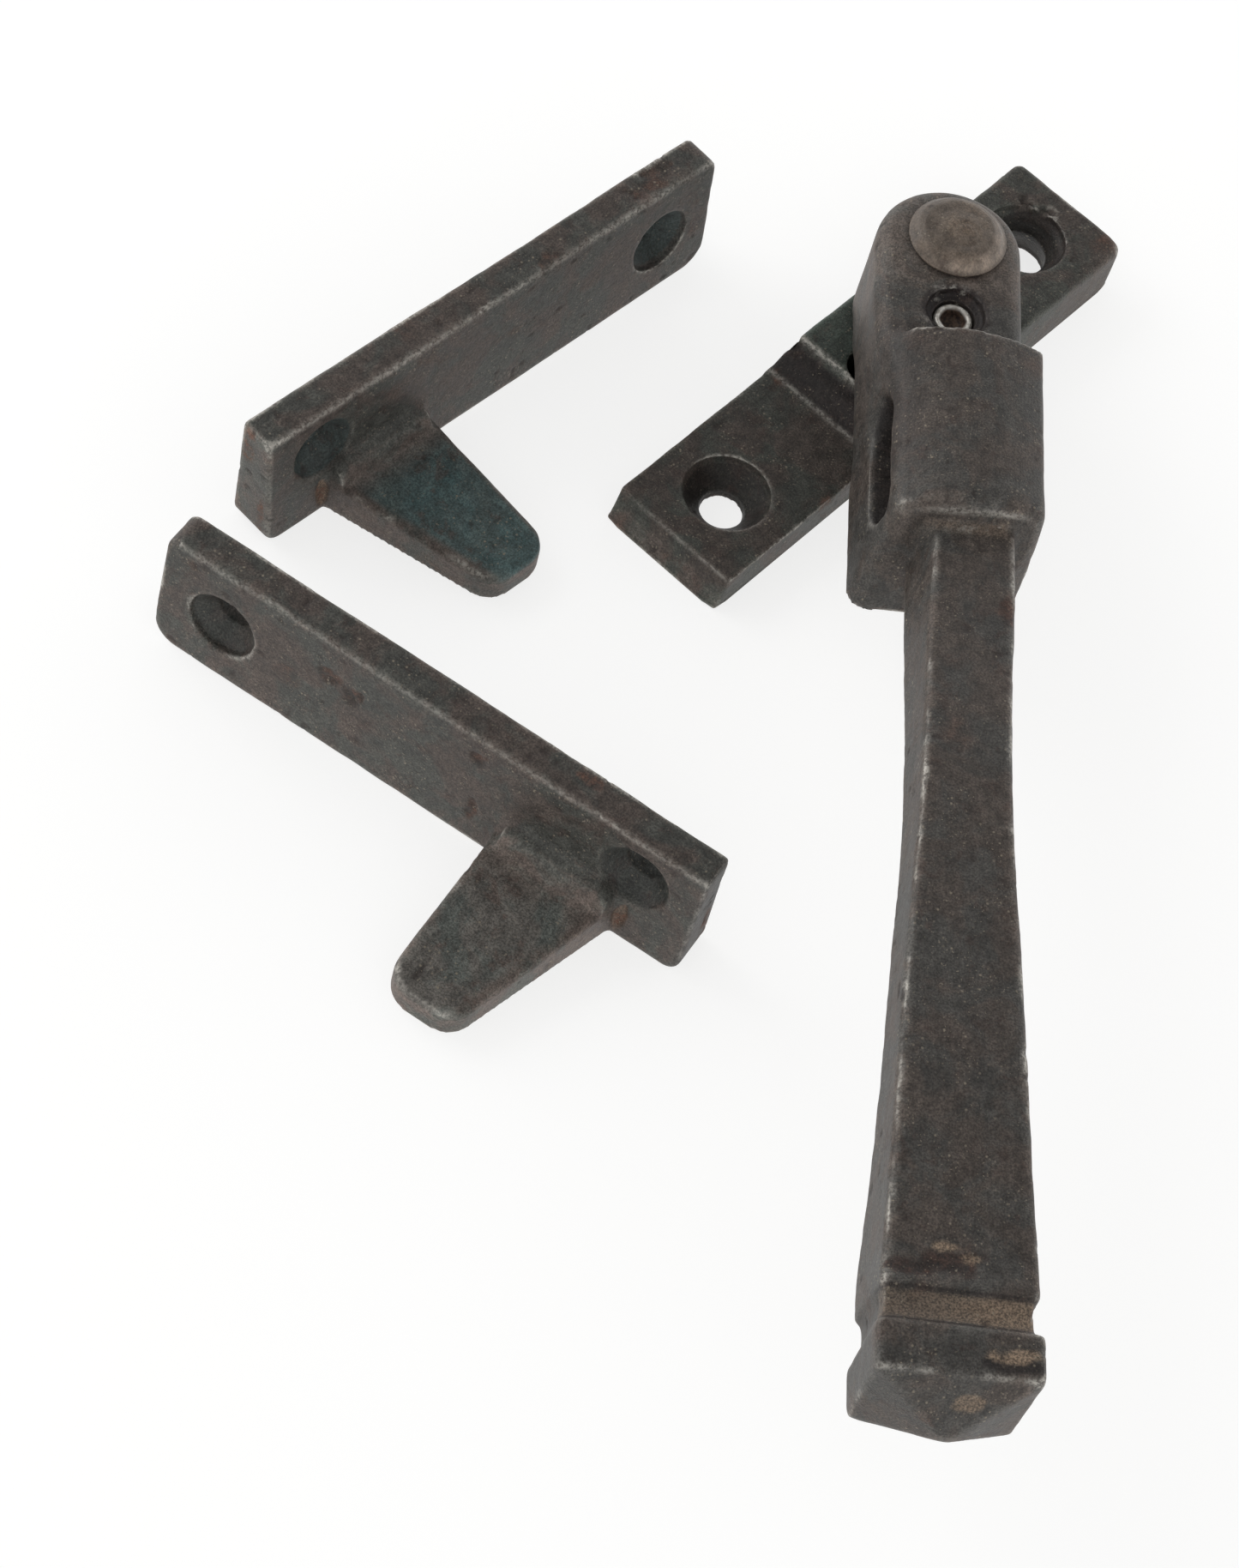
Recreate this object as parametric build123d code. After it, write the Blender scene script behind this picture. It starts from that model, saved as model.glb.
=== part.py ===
from build123d import *
from math import sqrt
import os

# Locking night-vent window fastener with a left and a right hook plate.
#
# Every solid is built straight into one shared frame, in millimetres.
# Origin: on the back of the fixing plate, midway between its two screw holes.
# +Z leaves the sash, along the pivot rivet. +Y runs along the fixing plate, towards its thick end.
# z = 0 is both the sash face behind the fixing plate and the surface that the hook plates stand on.

# ---------------------------------------------------------------- driving dimensions
# Fixing plate: a flat back, a thin low leg and a thick pad under the handle head.
PLATE_WIDTH = 18.6
LOW_END = -49.4            # foot of the hammered low end, from the pivot along the plate
HIGH_END = 30.3
LOW_BEVEL = 1.9
LEG_THICKNESS = 5.0
PAD_THICKNESS = 8.0
RAMP_START = -19.8
RAMP_END = -14.8
LOW_HOLE = -37.8
HIGH_HOLE = 21.2
SASH_HOLE_R = 2.75
SASH_SINK_R = 5.5
SASH_SINK_DEPTH = 2.9
LOCK_RADIUS = 11.3         # from the pivot to the lock hole and to the grub screw
LOCK_HOLE_R = 2.8
LOCK_HOLE_DEPTH = 5.5

# Pivot rivet and friction washer.
SHANK_R = 4.0
PIVOT_CLEARANCE = 0.05
RIVET_HEAD_R = 6.25
RIVET_HEAD_HEIGHT = 2.3
TAIL_R = 6.0
TAIL_DEPTH = 2.2
WASHER_R = 7.6
WASHER_BORE_R = 4.1
WASHER_THICKNESS = 0.9
WASHER_GAP = 0.05

# Handle, in its own frame: pivot at the origin, grip along -Y, same z as the plate.
HANDLE_ANGLE = 40.0        # at rest, from the plate's low leg towards +X
HEAD_BOTTOM = PAD_THICKNESS + WASHER_THICKNESS + 2 * WASHER_GAP
HEAD_TOP = 24.4
HEAD_LEFT = -9.9
HEAD_RIGHT = 8.7
HEAD_REACH = 8.6           # from the pivot to the round end of the head
COLLAR_START = 16.0
LEAN_START = 27.0          # from here on the left side leans inwards, as a drawn forging does
COLLAR_LEFT = -9.9
COLLAR_RIGHT = 11.1
COLLAR_LEAN = 2.5
COLLAR_SIDE_TOP = 24.6
COLLAR_CROWN = 27.4
COLLAR_RIGHT_END = 41.8    # where the top edge of the lower end meets the right side
COLLAR_LEFT_END = 43.2
TOE_END = 46.8
SLOT_START = 23.6
SLOT_END = 40.6
SLOT_BOTTOM = 16.2
SLOT_TOP = 22.4
GROOVE_START = 142.4
GROOVE_END = 146.3
BLOCK_END = 151.8
POINT_END = 156.2
BLOCK_HALF_WIDTH = 9.05
BLOCK_SHIFT = 0.35
BLOCK_BOTTOM = 13.2
BLOCK_TOP = 28.4

# Grub screw.
GRUB_R = 2.5
GRUB_BORE_R = 2.55
GRUB_LENGTH = 10.0
GRUB_TOP = 22.9
GRUB_SOCKET_FLATS = 2.6
GRUB_SOCKET_DEPTH = 3.0
RECESS_R = 3.6
RECESS_FLOOR = 23.1

# Hook plates.
BAR_LENGTH = 74.8
BAR_HEIGHT = 18.3
BAR_THICKNESS = 4.85       # along the top edge
FOOT_STEP = 1.65           # how far the foot of the sloping front stands out beyond its top edge
NEAR_HOLE = (8.6, 11.7)    # along the bar, up from its lower edge
FAR_HOLE = (65.8, 9.0)
HOOK_HOLE_R = 2.3
HOOK_SINK_R = 4.55
HOOK_SINK_START = -0.2     # where the cone begins, behind the top edge of the front
HOOK_SINK_DEPTH = 2.3
TONGUE_REACH = 24.6
TONGUE_ROOT = (8.7, 25.9)
TONGUE_TIP = (15.9, 25.6)
TONGUE_ROOT_THICKNESS = 5.8
TONGUE_TIP_THICKNESS = 4.1
RIGHT_HOOK_PLACE = (-35.2, -75.5, 86.6)    # x, y of the bar's lower near corner, then its turn about Z
LEFT_HOOK_PLACE = (39.7, -80.0, 190.1)

PIVOT_Y = -(LOW_HOLE + HIGH_HOLE) / 2
PARTS = "parts"


# ---------------------------------------------------------------- helpers
def save(solid, name):
    """Writes one node as STEP."""
    os.makedirs(PARTS, exist_ok=True)
    solid.label = name
    export_step(solid, os.path.join(PARTS, name + ".step"))


def block(x0, x1, y0, y1, z0, z1):
    """A box between two corners."""
    return Pos((x0 + x1) / 2, (y0 + y1) / 2, (z0 + z1) / 2) * Box(x1 - x0, y1 - y0, z1 - z0)


def upright_cylinder(x, y, z0, z1, r):
    """A cylinder along Z."""
    return Pos(x, y, (z0 + z1) / 2) * Cylinder(r, z1 - z0)


def upright_cone(x, y, z0, z1, r0, r1):
    """A cone along Z, of radius r0 at z0 and r1 at z1."""
    return Pos(x, y, (z0 + z1) / 2) * Cone(r0, r1, z1 - z0)


def soften(solid, edges, *sizes):
    """Rounds the edges with the first radius that the solid takes."""
    for size in sizes:
        try:
            return fillet(edges, size)
        except Exception:
            continue
    return solid


# ---------------------------------------------------------------- fixing plate
def plate_profile():
    """Side outline of the fixing plate in the YZ plane, y from the pivot."""
    with BuildSketch(Plane.YZ) as s:
        with BuildLine():
            Polyline(
                (LOW_END, 0),
                (HIGH_END, 0),
                (HIGH_END, PAD_THICKNESS),
                (RAMP_END, PAD_THICKNESS),
                (RAMP_START, LEG_THICKNESS),
                (LOW_END + LOW_BEVEL, LEG_THICKNESS),
                close=True,
            )
        make_face()
    return s.sketch


def fixing_plate():
    """Flat-backed strap: hammered low leg, ramp, thick pad with the lock hole."""
    half = PLATE_WIDTH / 2
    body = extrude(plate_profile(), half, both=True)
    corners = body.edges().filter_by(Axis.Z)
    body = soften(body, corners, 1.2, 0.8)
    top = body.faces().filter_by(Axis.Z).sort_by(Axis.Z)[-1]
    body = soften(body, top.edges(), 0.7, 0.5, 0.3)
    for y, z in ((LOW_HOLE, LEG_THICKNESS), (HIGH_HOLE, PAD_THICKNESS)):
        body -= upright_cylinder(0, y, -1, z + 1, SASH_HOLE_R)
        body -= upright_cone(0, y, z - SASH_SINK_DEPTH - 0.8, z - 0.8, SASH_HOLE_R, SASH_SINK_R)
        body -= upright_cylinder(0, y, z - 0.8, z + 1, SASH_SINK_R)
    body -= upright_cylinder(0, -LOCK_RADIUS, PAD_THICKNESS - LOCK_HOLE_DEPTH, PAD_THICKNESS + 1, LOCK_HOLE_R)
    body -= upright_cylinder(0, 0, -1, PAD_THICKNESS + 1, SHANK_R)
    body -= upright_cone(0, 0, 0, TAIL_DEPTH, TAIL_R, SHANK_R)
    return Pos(0, PIVOT_Y, 0) * body


# ---------------------------------------------------------------- rivet and washer
def pivot_rivet():
    """Domed head, plain shank and a tail spread flush into the back of the plate."""
    seat = HEAD_TOP + WASHER_GAP
    dome = (RIVET_HEAD_R ** 2 + RIVET_HEAD_HEIGHT ** 2) / (2 * RIVET_HEAD_HEIGHT)
    with BuildSketch(Plane.XZ) as s:
        with BuildLine():
            Line((0, 0), (TAIL_R, 0))
            Line((TAIL_R, 0), (SHANK_R, TAIL_DEPTH))
            Line((SHANK_R, TAIL_DEPTH), (SHANK_R, seat))
            Line((SHANK_R, seat), (RIVET_HEAD_R - 0.3, seat))
            Line((RIVET_HEAD_R - 0.3, seat), (RIVET_HEAD_R, seat + 0.5))
            RadiusArc((RIVET_HEAD_R, seat + 0.5), (0, seat + 0.5 + RIVET_HEAD_HEIGHT), -dome)
            Line((0, seat + 0.5 + RIVET_HEAD_HEIGHT), (0, 0))
        make_face()
    return Pos(0, PIVOT_Y, 0) * revolve(s.sketch, Axis.Z)


def friction_washer():
    """Thin ring on the pad, under the handle head."""
    bottom = PAD_THICKNESS
    top = bottom + WASHER_THICKNESS
    ring = upright_cylinder(0, 0, bottom, top, WASHER_R)
    ring -= upright_cylinder(0, 0, bottom - 1, top + 1, WASHER_BORE_R)
    return Pos(0, PIVOT_Y, 0) * ring


# ---------------------------------------------------------------- handle
def head_plan():
    """Round-ended plan of the head, running on under the collar."""
    inner = COLLAR_LEFT + COLLAR_LEAN + 0.3
    with BuildSketch(Plane.XY.offset(HEAD_BOTTOM)) as s:
        with BuildLine():
            Line((HEAD_RIGHT, 0), (HEAD_RIGHT, -COLLAR_START - 2))
            Line((HEAD_RIGHT, -COLLAR_START - 2), (inner, -LEAN_START))
            Line((inner, -LEAN_START), (HEAD_LEFT, -COLLAR_START))
            Line((HEAD_LEFT, -COLLAR_START), (HEAD_LEFT, 0))
            ThreePointArc((HEAD_LEFT, 0), ((HEAD_LEFT + HEAD_RIGHT) / 2, HEAD_REACH), (HEAD_RIGHT, 0))
        make_face()
    return s.sketch


def collar_section(y, lean):
    """Section of the collar: flat foot, leaning left side, upright right side and a crowned top."""
    left, right = COLLAR_LEFT, COLLAR_RIGHT
    with BuildSketch(Plane.XZ.offset(-y)) as s:
        with BuildLine():
            Line((left, HEAD_BOTTOM), (right, HEAD_BOTTOM))
            Line((right, HEAD_BOTTOM), (right, COLLAR_SIDE_TOP))
            ThreePointArc((right, COLLAR_SIDE_TOP), (0.6, COLLAR_CROWN), (left + lean, COLLAR_SIDE_TOP))
            Line((left + lean, COLLAR_SIDE_TOP), (left, HEAD_BOTTOM))
        make_face()
    return s.sketch


def trim(solid, a, b, c):
    """Cuts away what lies beyond the plane through three points, on its -Y side."""
    a, b, c = Vector(a), Vector(b), Vector(c)
    normal = (b - a).cross(c - a)
    if normal.Y > 0:
        normal = normal * -1
    reach = 120
    return solid - Plane(origin=a, z_dir=normal) * Pos(0, 0, reach / 2) * Box(reach, reach, reach)


def collar():
    """Crowned block. Its lower end slopes to a rounded toe on the left and is cut back on the right."""
    left, right, low = COLLAR_LEFT, COLLAR_RIGHT, HEAD_BOTTOM
    sections = [
        collar_section(-COLLAR_START, COLLAR_LEAN * 0.3),
        collar_section(-LEAN_START, COLLAR_LEAN),
        collar_section(-TOE_END - 4, COLLAR_LEAN),
    ]
    bar = loft(sections, ruled=True)
    bar = trim(bar, (right, -COLLAR_RIGHT_END, 25), (left, -COLLAR_LEFT_END, 25), (left, -TOE_END, low))
    bar = trim(bar, (right, -COLLAR_RIGHT_END, 25), (right, -COLLAR_RIGHT_END - 0.8, low), (5.5, -TOE_END + 0.2, low))
    corner = [e for e in bar.edges() if e.center().Y < -44 and e.center().X < left + 1.6 and e.length > 6]
    bar = soften(bar, corner, 2.6, 2.0, 1.2)
    side = [e for e in bar.edges() if e.length > 5 and abs(e.center().Z - COLLAR_SIDE_TOP) < 0.3]
    along = [e for e in side if abs(e.tangent_at(0.5).Y) > 0.9]
    bar = soften(bar, [e for e in along if e.center().X > 0], 1.6, 1.2, 0.8)
    side = [e for e in bar.edges() if e.length > 5 and abs(e.center().Z - COLLAR_SIDE_TOP) < 0.3]
    along = [e for e in side if abs(e.tangent_at(0.5).Y) > 0.9]
    return soften(bar, [e for e in along if e.center().X < 0], 3.2, 2.6, 2.0, 1.4)


def arm_stations():
    """Shape of the arm along its length."""
    # distance from the pivot, left and right edge of the top, how far the left side leans out, bottom, top
    yield 39.0, -2.0, 7.6, 2.0, 14.6, 23.2
    yield 50.0, -2.6, 7.4, 1.9, 15.8, 24.4
    yield 64.0, -3.4, 6.8, 1.1, 17.0, 25.8
    yield 76.0, -4.0, 6.4, 0.8, 18.7, 27.0
    yield 90.0, -4.9, 6.6, 0.6, 19.4, 27.6
    yield 106.0, -6.0, 7.3, 0.4, 19.3, 27.8
    yield 124.0, -7.0, 8.1, 0.4, 17.8, 27.9
    yield GROOVE_START, -8.1, 9.1, 0.4, 15.6, 28.0


def arm():
    """Flared bar from the collar to the groove."""
    sections = []
    for y, left, right, lean, low, high in arm_stations():
        with BuildSketch(Plane.XZ.offset(y)) as s:
            with BuildLine():
                Polyline((left, high), (right, high), (right + 0.3, low), (left - lean, low), close=True)
            make_face()
            fillet(s.vertices(), 0.8)
        sections.append(s.sketch)
    return loft(sections)


def neck_and_point():
    """Groove, end block and its four-sided point."""
    shift = BLOCK_SHIFT
    mid = (BLOCK_BOTTOM + BLOCK_TOP) / 2
    height = BLOCK_TOP - BLOCK_BOTTOM
    neck = block(
        shift - BLOCK_HALF_WIDTH + 1.0, shift + BLOCK_HALF_WIDTH - 1.0,
        -GROOVE_END - 1, -GROOVE_START + 1, BLOCK_BOTTOM + 2.6, BLOCK_TOP - 1.1,
    )
    end = block(
        shift - BLOCK_HALF_WIDTH, shift + BLOCK_HALF_WIDTH,
        -BLOCK_END, -GROOVE_END, BLOCK_BOTTOM, BLOCK_TOP,
    )
    end = soften(end, end.edges().filter_by(Axis.Y), 0.6)
    front = Plane(origin=(shift, -BLOCK_END, mid), x_dir=(1, 0, 0), z_dir=(0, -1, 0))
    tip = front.offset(POINT_END - BLOCK_END)
    base = front * RectangleRounded(2 * BLOCK_HALF_WIDTH - 0.1, height - 0.1, 0.5)
    point = loft([base, tip * RectangleRounded(1.2, 1.0, 0.3)])
    return neck + end + point


def handle():
    """One forging, pivoting on the rivet."""
    body = extrude(head_plan(), HEAD_TOP - HEAD_BOTTOM)
    rim = body.faces().sort_by(Axis.Z)[-1].edges()
    rim = [e for e in rim if e.center().Y > -COLLAR_START + 1]
    body = soften(body, [e for e in rim if e.center().X < 4], 2.2, 1.6, 1.0)
    rim = body.faces().sort_by(Axis.Z)[-1].edges()
    rim = [e for e in rim if e.center().Y > -COLLAR_START + 1 and e.center().X > 4]
    body = soften(body, rim, 0.6, 0.3)
    body += collar()
    body += arm()
    body += neck_and_point()
    body -= upright_cylinder(0, 0, 0, 40, SHANK_R + PIVOT_CLEARANCE)
    body -= upright_cylinder(0, -LOCK_RADIUS, 0, 40, GRUB_BORE_R)
    body -= upright_cylinder(0, -LOCK_RADIUS, RECESS_FLOOR, 26, RECESS_R)
    slot_height = SLOT_TOP - SLOT_BOTTOM
    slot = Plane(
        origin=(0, -(SLOT_START + SLOT_END) / 2, (SLOT_TOP + SLOT_BOTTOM) / 2),
        x_dir=(0, 1, 0), z_dir=(1, 0, 0),
    )
    shape = slot * SlotOverall(SLOT_END - SLOT_START, slot_height)
    body -= extrude(shape, COLLAR_RIGHT + 5, both=True)
    return body


def grub_screw():
    """Headless screw with a hexagon socket and a plain dog point."""
    bottom = GRUB_TOP - GRUB_LENGTH
    screw = upright_cylinder(0, -LOCK_RADIUS, bottom, GRUB_TOP, GRUB_R)
    ends = screw.edges().filter_by(GeomType.CIRCLE)
    screw = chamfer(ends, 0.35)
    socket = Plane(origin=(0, -LOCK_RADIUS, GRUB_TOP - GRUB_SOCKET_DEPTH))
    hexagon = socket * RegularPolygon(GRUB_SOCKET_FLATS / sqrt(3), 6)
    screw -= extrude(hexagon, GRUB_SOCKET_DEPTH + 1)
    return screw


def at_rest(solid):
    """Turns a piece of the handle to its rest angle about the pivot."""
    return Pos(0, PIVOT_Y, 0) * Rot(0, 0, HANDLE_ANGLE) * solid


# ---------------------------------------------------------------- hook plates
def tongue_outline(z):
    """Plan of the tongue at height z: wide root, rounded tip."""
    with BuildSketch(Plane.XY.offset(z)) as s:
        with BuildLine():
            Polyline(
                (TONGUE_ROOT[0], 0.5),
                (TONGUE_ROOT[1], 0.5),
                (TONGUE_TIP[1], -TONGUE_REACH),
                (TONGUE_TIP[0], -TONGUE_REACH),
                close=True,
            )
        make_face()
        fillet(s.vertices().sort_by(Axis.Y)[:2], 3.6)
    return s.sketch


def front(z):
    """Where the sloping front of the bar stands at height z."""
    return -FOOT_STEP * (1 - z / BAR_HEIGHT)


def hook_bar():
    """Bar on its long edge, with an upright back, a sloping front and hammered, rounded ends."""
    with BuildSketch(Plane.YZ) as s:
        with BuildLine():
            Polyline(
                (front(0), 0),
                (front(BAR_HEIGHT), BAR_HEIGHT),
                (BAR_THICKNESS, BAR_HEIGHT),
                (BAR_THICKNESS, 0),
                close=True,
            )
        make_face()
    bar = extrude(s.sketch, BAR_LENGTH)
    for x, z, size in (
        (0, 0, 2.0), (0, BAR_HEIGHT, 0.8), (BAR_LENGTH, 0, 3.4), (BAR_LENGTH, BAR_HEIGHT, 1.8),
    ):
        corner = [
            e for e in bar.edges().filter_by(Axis.Y)
            if abs(e.center().X - x) < 0.1 and abs(e.center().Z - z) < 0.1
        ]
        bar = soften(bar, corner, size)
    face = bar.faces().sort_by(Axis.Y)[0]
    return soften(bar, face.edges(), 0.6, 0.4)


def hook_plate():
    """Bar with its tongue, x along the bar, tongue towards -Y, foot on z = 0."""
    bar = hook_bar()
    tongue = extrude(tongue_outline(0), TONGUE_ROOT_THICKNESS)
    drop = TONGUE_ROOT_THICKNESS - TONGUE_TIP_THICKNESS
    with BuildSketch(Plane.YZ) as s:
        with BuildLine():
            Polyline(
                (0.6, TONGUE_ROOT_THICKNESS),
                (-TONGUE_REACH - 1, TONGUE_ROOT_THICKNESS - drop),
                (-TONGUE_REACH - 1, TONGUE_ROOT_THICKNESS + 2),
                (0.6, TONGUE_ROOT_THICKNESS + 2),
                close=True,
            )
        make_face()
    tongue -= extrude(s.sketch, 40)
    top = tongue.faces().filter_by(lambda f: f.normal_at().Z > 0.9).sort_by(Axis.Z)[-1]
    tongue = soften(tongue, [e for e in top.edges() if e.center().Y < 0.3], 0.8, 0.5)
    low = TONGUE_ROOT_THICKNESS - 0.6
    high = TONGUE_ROOT_THICKNESS + 2.4
    wall = front(high)
    with BuildSketch(Plane.YZ.offset(TONGUE_ROOT[0] + 1.2)) as f:
        with BuildLine():
            Line((0.2, low), (0.2, high))
            Line((0.2, high), (wall, high))
            RadiusArc((wall, high), (wall - 2.6, low + 0.3), -2.6)
            Line((wall - 2.6, low + 0.3), (wall - 2.6, low))
            Line((wall - 2.6, low), (0.2, low))
        make_face()
    root_fillet = extrude(f.sketch, TONGUE_ROOT[1] - TONGUE_ROOT[0] - 2.4)
    plate = bar + tongue + root_fillet
    for x, z in (NEAR_HOLE, FAR_HOLE):
        axis = Plane(origin=(x, 0, z), x_dir=(1, 0, 0), z_dir=(0, 1, 0))
        plate -= extrude(axis * Circle(HOOK_HOLE_R), BAR_THICKNESS + 6, both=True)
        cone_middle = HOOK_SINK_START + HOOK_SINK_DEPTH / 2
        sink = axis.offset(cone_middle) * Cone(HOOK_SINK_R, HOOK_HOLE_R, HOOK_SINK_DEPTH)
        mouth = axis.offset(HOOK_SINK_START - 2) * Cylinder(HOOK_SINK_R, 4)
        plate -= sink
        plate -= mouth
    return plate


def laid(plate, place):
    """Stands a hook plate beside the fastener."""
    x, y, turn = place
    return Pos(x, y, 0) * Rot(0, 0, turn) * plate


def main():
    save(fixing_plate(), "fixing_plate")
    save(pivot_rivet(), "pivot_rivet")
    save(friction_washer(), "friction_washer")
    save(at_rest(handle()), "handle")
    save(at_rest(grub_screw()), "grub_screw")
    right = hook_plate()
    left = mirror(right, Plane.XZ)
    save(laid(right, RIGHT_HOOK_PLACE), "hook_plate_right")
    save(laid(left, LEFT_HOOK_PLACE), "hook_plate_left")


if __name__ == "__main__":
    main()
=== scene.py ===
import bmesh
import bpy
from itertools import product
from math import cos, pi, radians, sin

import numpy as np
from mathutils import Matrix, Vector


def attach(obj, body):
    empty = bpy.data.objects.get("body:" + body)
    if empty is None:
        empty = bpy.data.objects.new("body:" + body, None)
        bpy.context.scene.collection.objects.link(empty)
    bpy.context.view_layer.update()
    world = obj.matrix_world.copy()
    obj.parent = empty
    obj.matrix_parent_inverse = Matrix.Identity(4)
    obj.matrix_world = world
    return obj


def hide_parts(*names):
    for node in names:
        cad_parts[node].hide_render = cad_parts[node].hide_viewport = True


# A forged window fastener and its two hook plates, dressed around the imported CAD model.
# Every iron piece is a copy of its CAD node, cut into an even skin and worked in the piece's own
# frame, in millimetres: x across, y along (the handle's grip and the low leg run to -y), z up.
# On the handle, s is how far down the grip a point lies from the pivot, so s = -y.

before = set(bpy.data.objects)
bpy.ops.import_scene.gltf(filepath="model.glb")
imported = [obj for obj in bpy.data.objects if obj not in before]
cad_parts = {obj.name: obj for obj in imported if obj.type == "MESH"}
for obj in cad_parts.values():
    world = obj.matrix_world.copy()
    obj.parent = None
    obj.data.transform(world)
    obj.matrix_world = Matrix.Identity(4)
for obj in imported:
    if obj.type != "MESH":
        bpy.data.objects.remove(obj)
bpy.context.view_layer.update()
MM = 0.001

# ---------------------------------------------------------------- where things are
PIVOT_Y = 8.3                   # y of the pivot in the shared frame
HANDLE_TURN = 40.0              # how far the handle is turned at rest, in degrees
LOCK_RADIUS = 11.3              # from the pivot to the grub screw
COLLAR_LEFT = -9.9              # x of the left side of the collar, the grip's thick upper end
COLLAR_WIDTH = 21.0
RIM_AT_LEFT = 43.0              # s of the collar's lower rim at its left side
RIM_RISE = 1.4                  # how much nearer to the pivot the rim is at its right side
GROOVE = (142.5, 146.2)         # s of the edges of the groove above the end block
BLOCK_RIDGE = 151.7             # s of the ridge across the end block
SLOT_S = 32.1                   # middle of the slot through the collar, down the grip and up
SLOT_Z = 19.3
PLATE_SIDE = 9.3                # half the fixing plate's width
PLATE_HOLES = (-37.8, 21.2)     # y of the near and far screw holes
STEP_FOOT = -19.7               # y of the low and high edges of the step in the fixing plate
STEP_TOP = -14.4
BEVEL_TOP = -47.6               # y of the upper edge of the bevel on the low leg's end
HOOK_HOLES = ((8.6, 11.7), (65.8, 9.0))     # x and z of a hook plate's screw holes
HOOK_SINK = 4.4                 # radius that takes in a whole hook hole and its sink
PLATE_SINK = 5.25               # the same on the fixing plate
BAR_TOP = 18.0                  # z of the arris along the top of a hook plate's front
RIGHT_PLACE = (-35.2, -75.5, 86.6)          # a hook plate's x, y and turn
LEFT_PLACE = (39.7, -80.0, 190.1)
PLATE_FRAME = Matrix.Translation((0, PIVOT_Y, 0))
HANDLE_FRAME = PLATE_FRAME @ Matrix.Rotation(radians(HANDLE_TURN), 4, "Z")


def hook_frame(place, side):
    """A hook plate's own frame: x along the bar from the tongue's end, tongue towards -y."""
    x, y, turn = place
    mirror = Matrix.Diagonal((1, side, 1, 1))
    return Matrix.Translation((x, y, 0)) @ Matrix.Rotation(radians(turn), 4, "Z") @ mirror


# ---------------------------------------------------------------- camera, light, floor
EYE_MM = (127.17, -269.60, 365.94)
LOOKS_ALONG = (-0.25209, 0.46756, -0.84725)
PICTURE_RIGHT = (0.72131, 0.67445, 0.15758)
LENS = 83.52
SKY_LOW = 1.5
SKY_HIGH = 0.36
KEY_POWER = 1.8
KEY_SIZE = 0.5
KEY_PLACE = (-0.7, -0.15, 0.42)             # metres, like the floor's reach
KEY_AIM = (0, -0.03, 0)
FLOOR_GLOW = 0.76
FLOOR_REACH = 4.0


def camera():
    """The view from above the handle's end, rolled a little to the right."""
    data = bpy.data.cameras.new("camera")
    data.sensor_width = 36
    data.lens = LENS
    data.clip_start = 0.01
    ahead = Vector(LOOKS_ALONG).normalized()
    right = Vector(PICTURE_RIGHT).normalized()
    turn = Matrix((right, right.cross(ahead), -ahead)).transposed().to_4x4()
    cam = bpy.data.objects.new("camera", data)
    cam.matrix_world = Matrix.Translation(Vector(EYE_MM) * MM) @ turn
    bpy.context.scene.collection.objects.link(cam)
    bpy.context.scene.camera = cam


def sky():
    """Surroundings that are bright at the horizon and grey overhead, as in a light tent."""
    world = bpy.data.worlds.new("surroundings")
    world.use_nodes = True
    tree = world.node_tree
    glow = tree.nodes["Background"]
    glow.inputs["Color"].default_value = (1.0, 1.0, 1.0, 1)
    way = tree.nodes.new("ShaderNodeTexCoord")
    parts = tree.nodes.new("ShaderNodeSeparateXYZ")
    fade_up = tree.nodes.new("ShaderNodeMapRange")
    fade_up.interpolation_type = "SMOOTHSTEP"
    fade_up.inputs["From Min"].default_value = 0.1
    fade_up.inputs["From Max"].default_value = 0.85
    fade_up.inputs["To Min"].default_value = SKY_LOW
    fade_up.inputs["To Max"].default_value = SKY_HIGH
    tree.links.new(way.outputs["Generated"], parts.inputs[0])
    tree.links.new(parts.outputs["Z"], fade_up.inputs["Value"])
    tree.links.new(fade_up.outputs["Result"], glow.inputs["Strength"])
    bpy.context.scene.world = world


def softbox():
    """A weak square light from the left, for the soft highlights."""
    data = bpy.data.lights.new("key", "AREA")
    data.size = KEY_SIZE
    data.energy = KEY_POWER
    lamp = bpy.data.objects.new("key", data)
    aim = Vector(KEY_AIM) - Vector(KEY_PLACE)
    lamp.rotation_euler = aim.to_track_quat("-Z", "Y").to_euler()
    lamp.location = KEY_PLACE
    bpy.context.scene.collection.objects.link(lamp)


def ground():
    """A plain near-white floor."""
    mesh = bpy.data.meshes.new("floor")
    r = FLOOR_REACH
    mesh.from_pydata([(-r, -r, 0), (r, -r, 0), (r, r, 0), (-r, r, 0)], [], [(0, 1, 2, 3)])
    floor = bpy.data.objects.new("floor", mesh)
    bpy.context.scene.collection.objects.link(floor)
    material = bpy.data.materials.new("floor")
    material.use_nodes = True
    shader = material.node_tree.nodes["Principled BSDF"]
    shader.inputs["Base Color"].default_value = (0.32, 0.32, 0.318, 1)
    shader.inputs["Emission Color"].default_value = (1.0, 1.0, 0.995, 1)
    shader.inputs["Emission Strength"].default_value = FLOOR_GLOW
    shader.inputs["Roughness"].default_value = 0.85
    shader.inputs["Specular IOR Level"].default_value = 0.15
    mesh.materials.append(material)


def studio():
    """A plain near-white floor, pale surroundings and one weak soft light."""
    bpy.context.scene.view_settings.view_transform = "Standard"
    sky()
    softbox()
    ground()


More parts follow.
